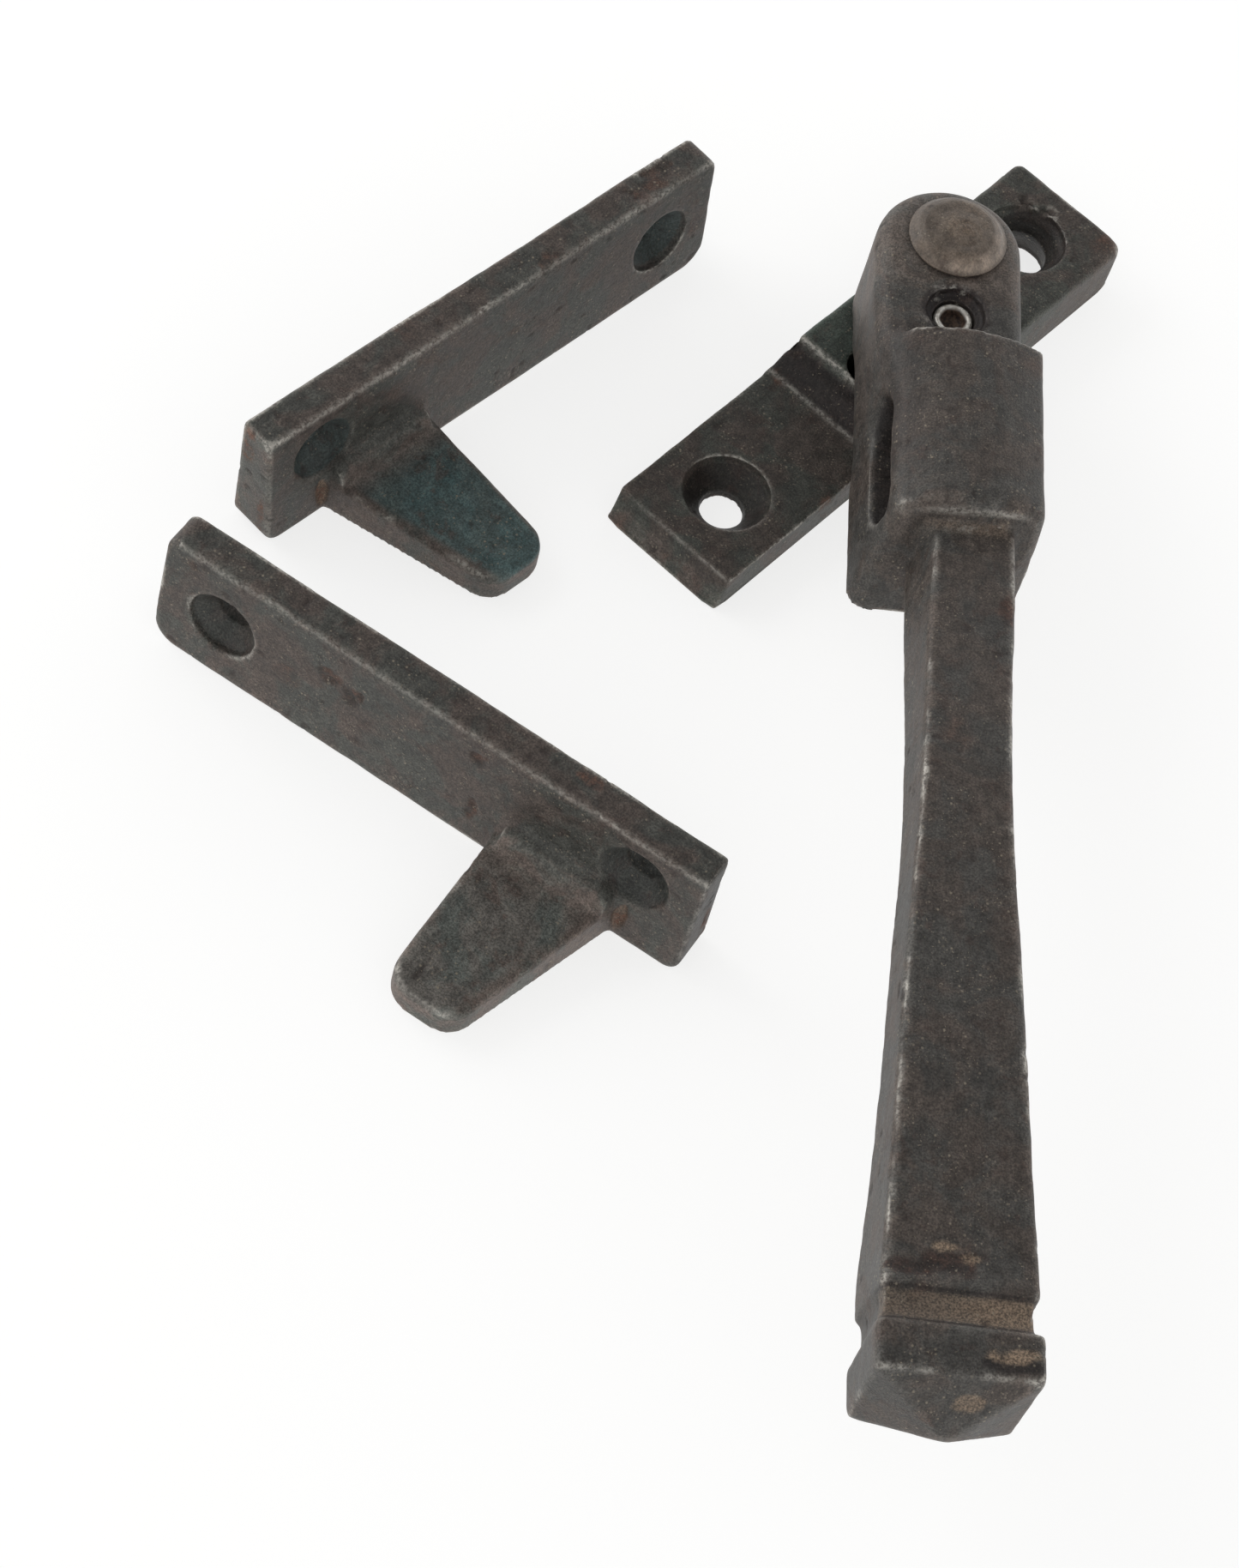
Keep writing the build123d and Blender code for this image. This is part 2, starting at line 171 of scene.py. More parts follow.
# ---------------------------------------------------------------- noise and masks
def scatter(cell, seed):
    """A repeatable number from 0 to 1 for each lattice cell."""
    h = (cell[:, 0] * 73856093) ^ (cell[:, 1] * 19349663) ^ (cell[:, 2] * 83492791)
    h = h ^ (seed * 2654435761)
    h = ((h ^ (h >> 13)) * 1274126177) & 0xFFFFFFFF
    return ((h ^ (h >> 16)) & 0xFFFF) / 65535.0


def noise(p, size, seed):
    """Smooth noise from -1 to 1 whose lumps are size across."""
    q = p / size
    base = np.floor(q).astype(np.int64)
    f = q - base
    f = f * f * (3 - 2 * f)
    total = np.zeros(len(p))
    for corner in product((0, 1), repeat=3):
        weight = np.prod(np.where(corner, f, 1 - f), axis=1)
        total += weight * scatter(base + np.array(corner), seed)
    return total * 2 - 1


def layered(p, size, seed, layers=4):
    """Noise on several scales, each half the size and half the strength of the last."""
    return sum(noise(p, size / 2 ** k, seed + k) / 2 ** k for k in range(layers))


def blows(p, size, seed):
    """How deep a point lies in the nearest hammer mark, from 0 at its rim to 1 in its middle."""
    q = p / size
    base = np.floor(q).astype(np.int64)
    near = np.full(len(p), 9.0)
    for shift in product((-1, 0, 1), repeat=3):
        cell = base + np.array(shift)
        centre = cell + np.stack([scatter(cell, seed + k) for k in range(3)], axis=1)
        near = np.minimum(near, ((q - centre) ** 2).sum(axis=1))
    return np.clip(1 - near, 0, 1)


def ramp(x, low, high):
    """0 below low, 1 above high, smooth between."""
    t = np.clip((x - low) / (high - low), 0, 1)
    return t * t * (3 - 2 * t)


def fade(x, low, high):
    """1 below low, 0 above high, smooth between."""
    return 1 - ramp(x, low, high)


def between(x, low_out, low_in, high_in, high_out):
    """1 between the two inner values, 0 past the two outer ones, smooth between."""
    return ramp(x, low_out, low_in) * fade(x, high_in, high_out)


def line(x, middle, width):
    """A soft line along x = middle."""
    return np.exp(-(((x - middle) / width) ** 2))


def spot(p, centre, size, seed, ragged=0.45):
    """1 in the middle of a patch and 0 outside, with a ragged edge. size is one radius or three."""
    far = np.sqrt((((p - np.array(centre)) / np.array(size)) ** 2).sum(axis=1))
    far += ragged * layered(p, 1.6, seed, 3)
    return fade(far, 0.55, 1.05)


def spots(p, patches):
    """Several patches together, each given by its strength, centre, size and seed."""
    return sum(strength * spot(p, centre, size, seed) for strength, centre, size, seed in patches)


# ---------------------------------------------------------------- forging
class Skin:
    """An even skin over a CAD node, as arrays in the piece's own frame, in millimetres."""

    def __init__(self, node, name, place, voxel):
        self.name = name
        self.node = node
        self.place = place
        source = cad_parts[node].data.copy()
        source.transform(Matrix.Scale(1 / MM, 4))
        source.transform(place.inverted())
        if place.determinant() < 0:
            source.flip_normals()
        self.mesh = remeshed(source, voxel)
        count = len(self.mesh.vertices)
        flat = np.empty(count * 3)
        self.mesh.vertices.foreach_get("co", flat)
        self.p = flat.reshape(-1, 3)
        self.own = self.p.copy()
        pairs = np.empty(len(self.mesh.edges) * 2, np.int64)
        self.mesh.edges.foreach_get("vertices", pairs)
        pairs = pairs.reshape(-1, 2)
        self.a = np.concatenate([pairs[:, 0], pairs[:, 1]])
        self.b = np.concatenate([pairs[:, 1], pairs[:, 0]])
        self.links = np.bincount(self.a, minlength=count)
        sides = np.empty(len(self.mesh.polygons) * 4, np.int64)
        self.mesh.loops.foreach_get("vertex_index", sides)
        self.quads = sides.reshape(-1, 4)
        self.marks = {}

    def around(self, values):
        """Each point's average over its neighbours, for a point's three coordinates."""
        near = [np.bincount(self.a, values[self.b, k], len(values)) for k in range(3)]
        return np.stack(near, axis=1) / self.links[:, None]

    def normals(self):
        """Outward unit normals."""
        corner = self.p[self.quads]
        face = np.cross(corner[:, 2] - corner[:, 0], corner[:, 3] - corner[:, 1])
        n = np.zeros_like(self.p)
        for k in range(4):
            for axis in range(3):
                n[:, axis] += np.bincount(self.quads[:, k], face[:, axis], len(n))
        return n / np.maximum(np.linalg.norm(n, axis=1, keepdims=True), 1e-9)

    def settle(self, rounds, where=1.0):
        """Plain smoothing, which rounds corners off."""
        where = np.broadcast_to(where, len(self.p))[:, None]
        for _ in range(rounds):
            self.p = self.p + where * 0.6 * (self.around(self.p) - self.p)

    def fill(self, rounds, where):
        """Fills inside corners with a fillet and leaves outside corners alone."""
        for _ in range(rounds):
            n = self.normals()
            rise = ((self.around(self.p) - self.p) * n).sum(axis=1)
            self.p = self.p + n * (np.clip(rise, 0, None) * where * 0.9)[:, None]

    def push(self, depth):
        """Moves each point along its normal."""
        self.p = self.p + self.normals() * depth[:, None]

    def bend(self, rounds):
        """How far each point stands out of its surroundings: above 0 on edges, below 0 in corners."""
        smooth = self.p
        for _ in range(rounds):
            smooth = self.around(smooth)
        return ((self.p - smooth) * self.normals()).sum(axis=1)

    def mark(self, name, values):
        """Keeps a mask for the material to read."""
        self.marks[name] = np.clip(values, 0, 1)

    def add(self, name, values):
        """Adds to a mask that is there already."""
        self.mark(name, self.marks[name] + values)

    def finish(self, material, body):
        """Writes the worked skin back and hides the CAD node that it stands for."""
        self.p[:, 2] = np.maximum(self.p[:, 2], 0.0)
        self.mesh.vertices.foreach_set("co", self.p.ravel())
        for name, values in self.marks.items():
            layer = self.mesh.attributes.new(name, "FLOAT", "POINT")
            layer.data.foreach_set("value", values.astype(np.float32))
        seat_in_frame(self.mesh, self.own, self.place)
        self.mesh.materials.clear()
        self.mesh.materials.append(material)
        piece = bpy.data.objects.new(self.name, self.mesh)
        bpy.context.scene.collection.objects.link(piece)
        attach(piece, body)
        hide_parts(self.node)


def seat_in_frame(mesh, own, place):
    """Keeps each point's own millimetres for the material, then moves the mesh to its place."""
    layer = mesh.attributes.new("own", "FLOAT_VECTOR", "POINT")
    layer.data.foreach_set("vector", own.astype(np.float32).ravel())
    mesh.transform(place)
    mesh.transform(Matrix.Scale(MM, 4))
    if place.determinant() < 0:
        mesh.flip_normals()
    mesh.polygons.foreach_set("use_smooth", [True] * len(mesh.polygons))
    mesh.update()


def remeshed(source, voxel):
    """The closed mesh rebuilt from even quads."""
    bm = bmesh.new()
    bm.from_mesh(source)
    bmesh.ops.remove_doubles(bm, verts=bm.verts, dist=1e-4)
    bm.to_mesh(source)
    bm.free()
    holder = bpy.data.objects.new("blank", source)
    bpy.context.scene.collection.objects.link(holder)
    cut = holder.modifiers.new("skin", "REMESH")
    cut.mode = "VOXEL"
    cut.voxel_size = voxel
    cut.use_smooth_shade = True
    bpy.context.view_layer.update()
    mesh = bpy.data.meshes.new_from_object(holder.evaluated_get(bpy.context.evaluated_depsgraph_get()))
    bpy.data.objects.remove(holder)
    return mesh


def forge(skin, seed, keep, warp=0.14, dent=0.07, nibble=0.08):
    """Hammered surface: wandering faces, shallow blows, nibbled edges and fine pits."""
    p = skin.p
    depth = warp * layered(p, 22, seed, 2)
    depth -= dent * blows(p, 6.5, seed + 10) * (0.6 + 0.4 * noise(p, 15, seed + 3))
    depth += 0.022 * layered(p, 2.2, seed + 20, 3)
    edge = ramp(skin.bend(10), 0.04, 0.16)
    depth -= edge * nibble * np.clip(layered(p, 3.5, seed + 30, 3) + 0.1, 0, None)
    pits = ramp(layered(p, 1.5, seed + 40, 2), 0.72, 1.1)
    depth -= 0.10 * pits
    skin.push(depth * keep)
    skin.mark("pits", pits)


PATCHES = ("rust", "tan", "blue", "green", "dark")


def weather(skin, seed, **patches):
    """Marks what the iron reads: bare edges, hollows, and the patches that are given."""
    broad = skin.bend(14)
    rub = 0.75 + 0.5 * layered(skin.p, 5.0, seed + 50, 3)
    skin.mark("bare", ramp(skin.bend(3) * rub, 0.02, 0.07) * ramp(broad * rub, 0.08, 0.26))
    skin.mark("hollow", ramp(-broad, 0.05, 0.35))
    skin.mark("edge", ramp(broad, 0.03, 0.2))
    for name in PATCHES:
        skin.mark(name, patches.get(name, np.zeros(len(skin.p))))


# ---------------------------------------------------------------- materials
class Nodes:
    """Short names for building a node tree."""

    def __init__(self, name):
        self.material = bpy.data.materials.new(name)
        self.material.use_nodes = True
        self.tree = self.material.node_tree
        self.shader = self.tree.nodes["Principled BSDF"]
        self.own = None

    def node(self, kind, **inputs):
        """A new node, with the inputs that are named filled in."""
        made = self.tree.nodes.new(kind)
        for key, value in inputs.items():
            self.feed(made.inputs[key.replace("_", " ")], value)
        return made

    def feed(self, socket, value):
        """Links a socket to another node's output, or gives it a plain value."""
        if isinstance(value, bpy.types.NodeSocket):
            self.tree.links.new(value, socket)
        else:
            socket.default_value = value

    def surface(self, **inputs):
        """Fills in inputs of the shader itself."""
        for key, value in inputs.items():
            self.feed(self.shader.inputs[key.replace("_", " ")], value)

    def mask(self, name):
        """One of the masks that the skin keeps."""
        made = self.tree.nodes.new("ShaderNodeAttribute")
        made.attribute_name = name
        return made.outputs["Fac"]

    def where(self):
        """The point in the piece's own frame, in millimetres."""
        if self.own is None:
            self.own = self.tree.nodes.new("ShaderNodeAttribute")
            self.own.attribute_name = "own"
        return self.own.outputs["Vector"]

    def noise(self, size_mm, detail=3.0, rough=0.55, distort=0.0, stretch=(1, 1, 1)):
        """Noise whose lumps are size_mm across."""
        made = self.node("ShaderNodeTexNoise", Scale=1.0 / size_mm, Detail=detail)
        self.feed(made.inputs["Roughness"], rough)
        self.feed(made.inputs["Distortion"], distort)
        place = self.where()
        if stretch != (1, 1, 1):
            place = self.node("ShaderNodeMapping", Vector=place, Scale=stretch).outputs["Vector"]
        self.feed(made.inputs["Vector"], place)
        return made.outputs["Fac"]

    def cut(self, value, low, high, to_low=0.0, to_high=1.0):
        """to_low where value is below low, to_high where it is above high, smooth between."""
        made = self.tree.nodes.new("ShaderNodeMapRange")
        made.interpolation_type = "SMOOTHSTEP"
        self.feed(made.inputs["Value"], value)
        self.feed(made.inputs["From Min"], low)
        self.feed(made.inputs["From Max"], high)
        self.feed(made.inputs["To Min"], to_low)
        self.feed(made.inputs["To Max"], to_high)
        return made.outputs["Result"]

    def maths(self, kind, a, b):
        """One of the node tree's operations on two numbers."""
        made = self.tree.nodes.new("ShaderNodeMath")
        made.operation = kind
        self.feed(made.inputs[0], a)
        self.feed(made.inputs[1], b)
        return made.outputs["Value"]

    def times(self, a, b):
        return self.maths("MULTIPLY", a, b)

    def plus(self, a, b):
        return self.maths("ADD", a, b)

    def most(self, a, b):
        return self.maths("MAXIMUM", a, b)

    def blend(self, factor, a, b):
        """Colour a where factor is 0 and colour b where it is 1."""
        made = self.tree.nodes.new("ShaderNodeMix")
        made.data_type = "RGBA"
        self.feed(made.inputs["Factor"], factor)
        self.feed(made.inputs[6], a)
        self.feed(made.inputs[7], b)
        return made.outputs[2]

    def mix(self, factor, a, b):
        """Number a where factor is 0 and number b where it is 1."""
        made = self.tree.nodes.new("ShaderNodeMix")
        made.data_type = "FLOAT"
        self.feed(made.inputs["Factor"], factor)
        self.feed(made.inputs[2], a)
        self.feed(made.inputs[3], b)
        return made.outputs[0]

    def scale(self, colour, factor):
        """A colour made brighter or darker."""
        made = self.tree.nodes.new("ShaderNodeVectorMath")
        made.operation = "SCALE"
        self.feed(made.inputs[0], colour[:3] if isinstance(colour, tuple) else colour)
        self.feed(made.inputs["Scale"], factor)
        return made.outputs["Vector"]

    def bump(self, height, strength, distance):
        """Raises the surface a little where height is high."""
        made = self.node("ShaderNodeBump", Strength=strength, Distance=distance, Height=height)
        self.surface(Normal=made.outputs["Normal"])


def rgb(r, g, b):
    """A colour from its usual 0 to 255 screen values."""
    def linear(c):
        c /= 255
        return c / 12.92 if c < 0.04045 else ((c + 0.055) / 1.055) ** 2.4
    return (linear(r), linear(g), linear(b), 1.0)


GREEN_SKIN = rgb(54, 66, 59)
BLUE_SKIN = rgb(52, 69, 69)
# Dark colour for stains, also used for painted shade.
STAIN_AND_SHADE = rgb(33, 27, 26)
BROWN = rgb(58, 46, 41)
TAN = rgb(138, 119, 100)
RUST = rgb(78, 53, 42)
PIT = rgb(40, 31, 28)
SPECK = rgb(140, 130, 114)
BARE = rgb(176, 172, 164)


def iron(name, cold, warm, sheen=0.5, grit=1.0):
    """Beeswaxed forged iron: mottled dark skin, pale specks, bare edges, rust, tan rubbed places, and the
    painted light, shade and glints that the skin's masks carry.
    """
    n = Nodes(name)
    broad = n.noise(7.0, 4.0, 0.6, 0.6)
    mottle = n.noise(1.8, 5.0, 0.7)
    grain = n.noise(0.24, 2.0, 0.6)
    drawn = n.noise(0.8, 4.0, 0.6, 0.0, (1.0, 0.1, 1.0))
    shade = iron_shade(n, mottle, grain, drawn, grit)
    colour = n.scale(n.blend(n.cut(broad, 0.42, 0.58), cold, warm), shade)
    colour = iron_stains_and_shade(n, colour, shade, broad)

    tan = n.times(n.mask("tan"), n.cut(grain, 0.34, 0.66, 0.5, 1.0))
    colour = n.blend(tan, colour, n.scale(TAN, n.cut(grain, 0.3, 0.7, 0.6, 1.3)))
    rust = n.times(n.mask("rust"), n.cut(mottle, 0.42, 0.6, 0.2, 0.85))
    colour = n.blend(rust, colour, n.scale(RUST, shade))
    colour = n.blend(n.times(n.mask("pits"), 0.6), colour, PIT)
    dots = iron_dots(n)
    colour = n.blend(dots, colour, SPECK)
    bare = n.times(n.mask("bare"), n.cut(n.noise(0.45, 4.0, 0.7), 0.38, 0.6, 0.15, 1.0))
    n.surface(Base_Color=n.blend(bare, colour, BARE), Specular_IOR_Level=0.4)

    crust = n.most(rust, tan)
    n.surface(Metallic=n.times(n.mix(bare, 0.2, 0.5), n.cut(crust, 0.0, 1.0, 1.0, 0.1)))
    rough = n.cut(mottle, 0.25, 0.75, sheen - 0.06, sheen + 0.12)
    n.surface(Roughness=n.mix(crust, n.mix(bare, rough, 0.36), 0.85))

    height = n.plus(n.times(mottle, 0.16), n.times(grain, 0.06 * grit))
    height = n.plus(height, n.times(drawn, 0.03))
    height = n.plus(height, n.times(dots, 0.02))
    n.bump(height, 0.9, 0.001)
    return n.material


def iron_shade(n, mottle, grain, drawn, grit):
    """How light the iron's skin is: its mottle, grain and draw lines, lighter on edges, and lighter where
    the edge and pale masks carry painted light on lit faces.
    """
    shade = n.cut(mottle, 0.32, 0.68, 0.7, 1.32)
    shade = n.times(shade, n.cut(grain, 0.3, 0.7, 1 - 0.36 * grit, 1 + 0.5 * grit))
    shade = n.times(shade, n.cut(drawn, 0.3, 0.7, 0.9, 1.1))
    shade = n.times(shade, n.cut(n.mask("edge"), 0.0, 1.0, 1.0, 1.4))
    # The pale mask is painted light on lit faces and on the light-catching band.
    return n.times(shade, n.cut(n.mask("pale"), 0.0, 1.0, 1.0, 1.6))


def iron_stains_and_shade(n, colour, shade, broad):
    """Green and blue tints, dark stains and the painted shade in the dark mask, darkened hollows, and
    brown clouds over the skin's colour.
    """
    tint = n.cut(broad, 0.3, 0.7, 0.5, 1.0)
    colour = n.blend(n.times(n.mask("green"), tint), colour, n.scale(GREEN_SKIN, shade))
    colour = n.blend(n.times(n.mask("blue"), tint), colour, n.scale(BLUE_SKIN, shade))
    # The dark mask holds stains and painted shade; hollows are darkened too.
    stain = n.most(n.mask("dark"), n.times(n.mask("hollow"), 0.5))
    colour = n.blend(stain, colour, n.scale(STAIN_AND_SHADE, shade))
    clouds = n.cut(n.noise(3.2, 5.0, 0.7, 0.4), 0.56, 0.66, 0.0, 0.55)
    return n.blend(clouds, colour, n.scale(BROWN, shade))


def iron_dots(n):
    """Pale specks, which lie thicker in some places than in others."""
    dots = n.most(specks(n, 0.8, 0.17, 0.55), n.cut(n.noise(0.3, 1.0), 0.66, 0.74))
    return n.times(dots, n.cut(n.noise(4.5, 3.0, 0.6, 0.5), 0.42, 0.62, 0.1, 0.75))


def specks(n, gap_mm, radius, rare):
    """Round pale specks, one in some of the cells of a lattice gap_mm apart."""
    cells = n.node("ShaderNodeTexVoronoi", Scale=1.0 / gap_mm, Vector=n.where())
    chosen = n.tree.nodes.new("ShaderNodeSeparateColor")
    n.feed(chosen.inputs[0], cells.outputs["Color"])
    near = n.cut(cells.outputs["Distance"], radius * 0.6, radius * 1.5, 1.0, 0.0)
    return n.times(near, n.cut(chosen.outputs[0], rare, rare + 0.2))


def steel():
    """Bright plated steel with a faint grain and handling smears."""
    n = Nodes("bright_steel")
    smear = n.noise(1.1, 3.0, 0.6, 0.5)
    colour = n.blend(n.cut(smear, 0.35, 0.7), rgb(214, 212, 206), rgb(170, 166, 158))
    n.surface(Base_Color=colour, Metallic=1.0, Roughness=n.cut(smear, 0.3, 0.7, 0.12, 0.3))
    n.bump(n.noise(0.25, 2.0), 0.15, 0.0002)
    return n.material


def socket_steel():
    """Bright steel with dark brown wax and dirt packed in the socket."""
    n = Nodes("grub_screw_steel")
    smear = n.noise(0.6, 3.0, 0.6)
    bright = n.blend(n.cut(smear, 0.35, 0.7), rgb(226, 223, 216), rgb(176, 171, 162))
    dirt = n.blend(n.cut(smear, 0.4, 0.6), rgb(50, 38, 32), rgb(92, 74, 60))
    socket = n.mask("socket")
    n.surface(Base_Color=n.blend(socket, bright, dirt))
    n.surface(Metallic=n.mix(socket, 0.7, 0.1), Roughness=n.mix(socket, 0.26, 0.7))
    n.bump(n.noise(0.3, 3.0), 0.4, 0.0002)
    return n.material


# ---------------------------------------------------------------- handle
HANDLE_VOXEL = 0.35
HANDLE_SEED = 3
SCAR = (6.3, -55.2, 25)         # a rusty scar on the right of the grip's upper end
TIP_PITS = (
    (1.0, (-0.5, -139.2, 28), (4.2, 1.9, 3), 5),
    (1.0, (-5.5, -140, 28), (2.8, 1.3, 3), 6),
)
# Tan spots by the groove, each a strength, centre, size and seed: the first two are painted glints, the
# last two rubbed places.
TIP_RUBS_AND_GLINTS = (
    (1.0, (-1.6, -137.6, 28), (2.2, 0.7, 2), 7),
    (0.7, (1.2, -138.6, 28), (1.2, 0.6, 2), 8),
    (1.0, (5.9, -149.3, 28.4), (2.6, 1.0, 3), 21),
    (0.7, (1.6, -153.7, 25), (1.7, 0.8, 2), 22),
)
TIP_STAIN = ((5.5, -150.2, 28), (4.6, 1.0, 3), 23)


def along_grip(p):
    """Across, down the grip and up, for points in the handle's frame."""
    return p[:, 0], -p[:, 1], p[:, 2]


def past_rim(x, s):
    """How far below the collar's slanting lower rim a point lies."""
    return s - RIM_AT_LEFT + RIM_RISE * (x - COLLAR_LEFT) / COLLAR_WIDTH


def make_handle(material):
    """The lever: its collar, curved grip and faceted end block."""
    skin = Skin("handle", "handle_forging", HANDLE_FRAME, HANDLE_VOXEL)
    shape_handle(skin)
    pit = wear_handle(skin)
    recess = handle_recess(skin.p)
    band = cove_band(skin.p)
    rust = 0.5 * spot(skin.p, SCAR, (1.4, 2.4, 3), 11) + 0.35 * pit
    rust += 0.3 * ramp(layered(skin.p, 9, 77, 3), 0.75, 1.3)
    # The band's share of the tan mask is painted light on the strip that catches the light.
    tan = handle_rubs(skin.p) + 0.35 * band
    weather(skin, HANDLE_SEED, rust=rust, tan=tan, dark=handle_stains_and_shade(skin.p, pit, recess))
    bare = skin.marks["bare"] * handle_kept_skin(skin.p, recess)
    # The bare mask also takes the painted glints from handle_glints.
    skin.mark("bare", bare + handle_glints(skin.p, recess, band))
    # Painted light: the head around the pivot and the band are made lighter through the edge and pale
    # masks.
    head = fade(-skin.p[:, 1], 6.5, 9)
    skin.add("edge", head)
    skin.mark("pale", 0.35 * head + 0.8 * band)
    skin.finish(material, "handle")


def shape_handle(skin):
    """Rounds the collar's left side and fillets the cove and the groove."""
    skin.settle(1)
    x, s, z = along_grip(skin.p)
    shoulder = ramp(-x, 5.5, 7.5) * between(s, -6, 2, 40, 44) * ramp(z, 19, 21)
    neck = ramp(-x, 5.5, 7.5) * between(s, 7, 12, 24, 30)
    skin.settle(14, shoulder)
    skin.settle(60, neck)
    x, s, z = along_grip(skin.p)
    bore = np.hypot(x, s) < 5.2
    skin.fill(16, between(s, 40.5, 41.5, 47, 50) * between(z, 17, 20, 25.2, 26.6))
    skin.fill(14, between(s, 140.5, 141.5, 147, 148))
    skin.settle(3, ramp(s, 139, 141))
    forge(skin, HANDLE_SEED, keep=1.0 - bore)


def wear_handle(skin):
    """Sinks the pits above the groove and roughens the floor around the grub screw."""
    p = skin.p
    pit = spots(p, TIP_PITS)
    skin.push(-0.25 * np.clip(pit, 0, 1) * (0.5 + 0.5 * layered(p, 0.9, 9, 2)))
    p = skin.p
    x, s, z = along_grip(p)
    rough = fade(np.hypot(x, s - LOCK_RADIUS), 4.0, 4.8) * ramp(z, 22.8, 23.6)
    skin.push(rough * 0.16 * layered(p, 1.3, 13, 3))
    return pit


def handle_recess(p):
    """The sunk floor around the grub screw."""
    x, s, z = along_grip(p)
    return fade(np.hypot(x, s - LOCK_RADIUS), 3.9, 4.7) * ramp(z, 22, 23)


def cove_band(p):
    """The strip of the collar's end face, just under its rim, that catches the light."""
    x, s, z = along_grip(p)
    strip = between(s, 41.6, 42.4, 43.4, 44.6) * between(z, 19.5, 20.5, 24.0, 24.7)
    return strip * between(x, -5, 0, 5.5, 7.5)


def handle_rubs(p):
    """Tan places: the floor of the groove, brighter to the right, and spots beside it, two of which are
    painted glints.
    """
    x, s, z = along_grip(p)
    low, high = GROOVE
    groove = between(s, low + 0.1, low + 0.7, high - 0.6, high - 0.1) * ramp(z, 24, 26.5)
    return groove * (0.35 + 0.45 * ramp(x, -5, 5)) + spots(p, TIP_RUBS_AND_GLINTS)


def handle_stains_and_shade(p, pit, recess):
    """Dark places: scar, pits, recess, the collar's left shoulder, lines along the groove's edges, a
    painted shadow under the rim and painted shade in the slot.
    """
    x, s, z = along_grip(p)
    dark = 0.8 * spot(p, SCAR, (1.6, 2.6, 3), 12) + 0.8 * np.clip(pit, 0, 1)
    dark += 0.8 * spot(p, *TIP_STAIN) + 0.95 * recess
    dark += 0.35 * ramp(-x, 3, 6) * between(s, 12, 16, 32, 40) * ramp(z, 22, 24)
    dark = np.clip(dark, 0, 1)
    groove_edge_lines = sum(line(s, edge, 0.22) for edge in GROOVE)
    under_rim = line(past_rim(x, s), 0.75, 0.3) * ramp(z, 24.4, 25) * fade(x, 1, 5)
    # Painted shade inside the slot through the collar.
    slot_shade = between(x, -8.6, -7.4, 9, 10.4) * (np.abs(z - SLOT_Z) < 3.3) * (np.abs(s - SLOT_S) < 8.8)
    return dark + 0.7 * groove_edge_lines * ramp(z, 24, 25) + 0.7 * under_rim + 0.7 * slot_shade


def handle_kept_skin(p, recess):
    """1 where edges are rubbed bare as usual, less where the dark skin has stayed on."""
    x, s, z = along_grip(p)
    soft = line(past_rim(x, s), 0, 1.1) * ramp(z, 24.0, 25.0)
    soft += fade(x, -5.5, -4) * between(s, 43, 45, 58, 66)
    beside_slot = fade(x, -9.0, -7.5) * between(s, 19, 22, 43, 46) * fade(z, 24, 25)
    return (1 - 0.8 * recess) * (1 - 0.75 * beside_slot) * (1 - 0.6 * np.clip(soft, 0, 1))


def handle_glints(p, recess, band):
    """Painted glints and bare metal: painted glints of grit in the recess's lower right and in the
    light-catching band, the rim's line and the end block's ridge.
    """
    x, s, z = along_grip(p)
    grit = recess * ramp(noise(p, 0.55, 17), 0.55, 0.8) * ramp(x - s, -14, -9)
    grit += 0.5 * band * ramp(noise(p, 0.6, 24), 0.2, 0.6)
    rim = line(past_rim(x, s), 0, 0.2) * ramp(z, 24.8, 25.6) * (0.8 + 0.4 * layered(p, 4, 18, 2))
    ridge = line(s, BLOCK_RIDGE, 0.28) * ramp(z, 27, 28) * ramp(noise(p, 1.6, 19), -0.3, 0.5)
    return grit + 0.8 * rim + 0.8 * ridge


# ---------------------------------------------------------------- fixing plate
PLATE_VOXEL = 0.27
PLATE_SEED = 31
FAR_HOLE = PLATE_HOLES[1]
FAR_HOLE_SHIFT = (-0.5, -0.5, 0)
PLATE_CHIPS = (
    (1.0, (-4.6, 25.4, 8), (1.5, 0.9, 1.2), 41),
    (1.0, (-1.6, 26.4, 8), (1.3, 0.8, 1.0), 42),
)
PLATE_RUST = (
    (0.8, (-7.8, -19.8, 5), (1.2, 1.3, 2), 51),
    (0.7, (9.3, -29.2, 4), (1.0, 1.4, 2), 52),
    (0.6, (9.5, 12.2, 6), (0.8, 1.0, 2), 53),
)


def make_plate(material):
    """The fixing plate: its high end, the step and the low leg."""
    skin = Skin("fixing_plate", "fixing_plate_forging", PLATE_FRAME, PLATE_VOXEL)
    skin.settle(1)
    shape_step(skin)
    shape_ends(skin)
    x, y, z = skin.p.T
    untouched = (z < 0.6) | (np.hypot(x, y) < 9)
    forge(skin, PLATE_SEED, keep=1.0 - untouched, nibble=0.1)
    skin.push(-0.6 * np.clip(spots(skin.p, PLATE_CHIPS), 0, 1))
    x, y, z = skin.p.T
    rust = spots(skin.p, PLATE_RUST) + 0.6 * ramp(layered(skin.p, 7, 78, 3), 0.6, 1.2)
    green = 0.9 * between(y, -16, -13, -4, 6)
    dark = 0.85 * between(y, -20, -19, -15.6, -15) * ramp(z, 4, 5)
    for hole in PLATE_HOLES:
        dark = np.maximum(dark, 0.6 * (np.hypot(x, y - hole) < PLATE_SINK))
    weather(skin, PLATE_SEED, rust=rust, green=green, dark=dark)
    skin.add("bare", plate_lines(skin.p))
    # Painted light: the low leg's end bevel is made lighter.
    skin.mark("pale", 0.85 * fade(y, -48.4, -47.8))
    skin.finish(material, "plate")


